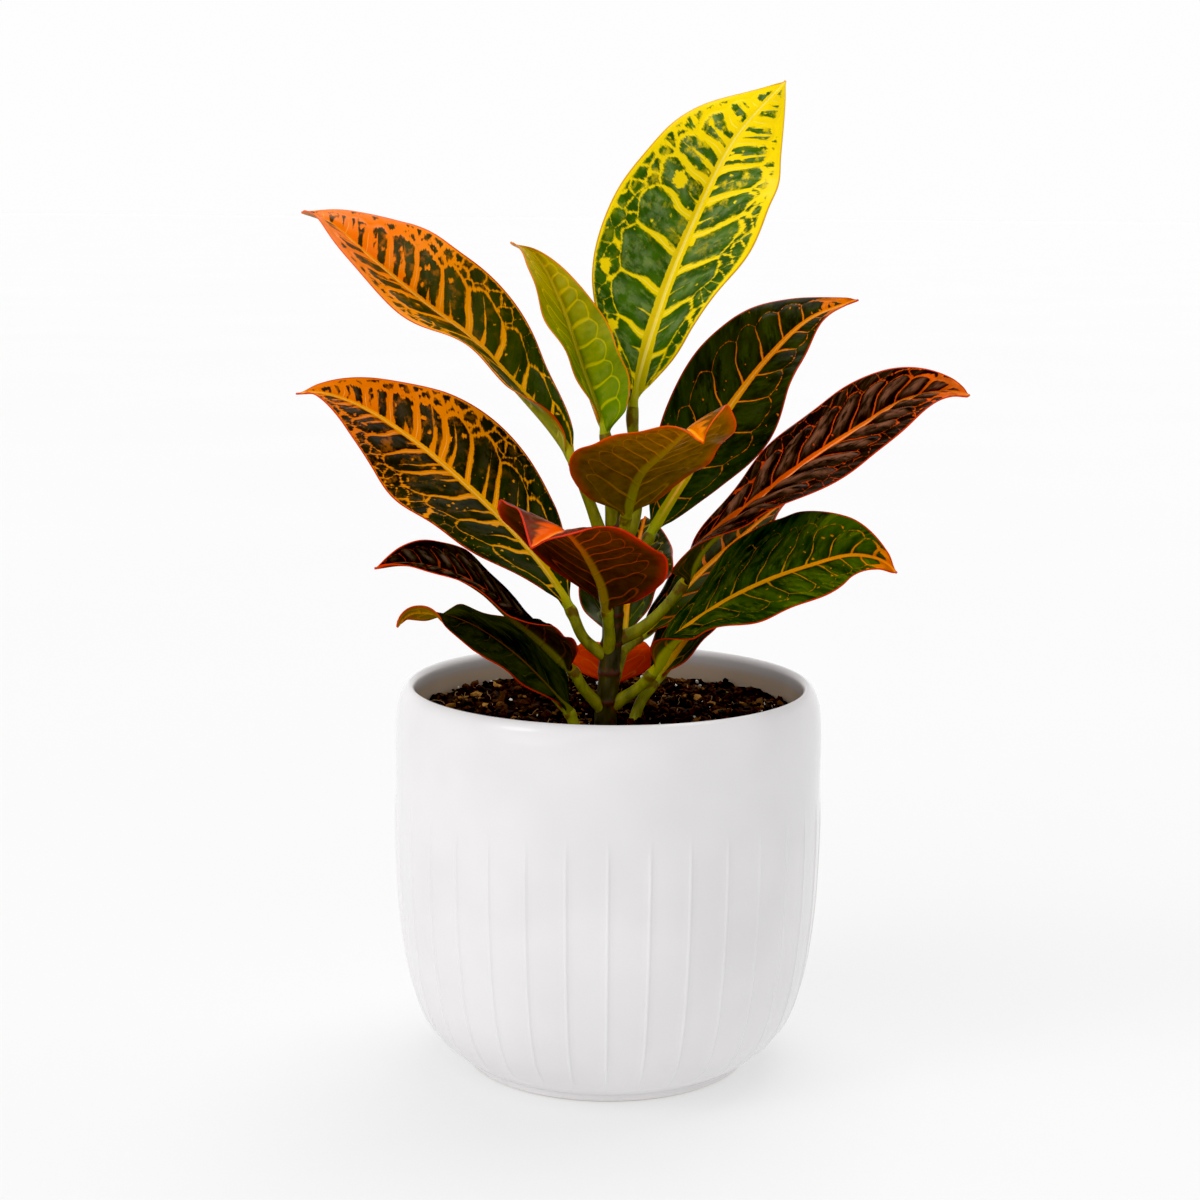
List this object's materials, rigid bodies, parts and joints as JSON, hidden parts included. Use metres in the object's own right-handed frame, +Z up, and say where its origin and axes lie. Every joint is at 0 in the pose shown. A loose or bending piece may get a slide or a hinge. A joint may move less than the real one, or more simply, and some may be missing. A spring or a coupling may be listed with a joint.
{
  "type": "potted croton",
  "caption": "Potted croton: a small indoor plant with glossy patterned leaves on one stem, growing in soil in a round white ribbed pot that stands on its flat foot.",
  "frame": {"origin": "on the pot's vertical axis, in the plane of its flat foot", "axes": "+Z up, along the pot's axis. -Y is the front of the plant, and +X is to the right of someone who looks at the front"},
  "size_m": [0.2209, 0.1553, 0.3232],
  "materials": {
    "glaze": "gloss",
    "soil": "matte",
    "stem": "satin",
    "leaf_yellow_green": "satin",
    "leaf_lime": "satin",
    "leaf_orange_green": "satin",
    "leaf_dark_green": "satin",
    "leaf_brown": "satin",
    "leaf_olive_underside": "satin",
    "leaf_red_underside": "satin",
    "leaf_old_red": "satin"
  },
  "bodies": {
    "root": {"pot": "glaze", "soil": "soil", "stem": "stem", "leaf_top": "leaf_yellow_green", "leaf_young": "leaf_lime", "leaf_upper_left": "leaf_orange_green", "leaf_mid_left": "leaf_orange_green", "leaf_lower_left": "leaf_brown", "leaf_low_left": "leaf_dark_green", "leaf_front_right": "leaf_olive_underside", "leaf_front_left": "leaf_red_underside", "leaf_upper_right": "leaf_dark_green", "leaf_mid_right": "leaf_brown", "leaf_lower_right": "leaf_dark_green", "leaf_inner_right": "leaf_dark_green", "leaf_back": "leaf_dark_green", "leaf_low_back": "leaf_dark_green", "leaf_old_red": "leaf_old_red"}
  },
  "joints": []
}
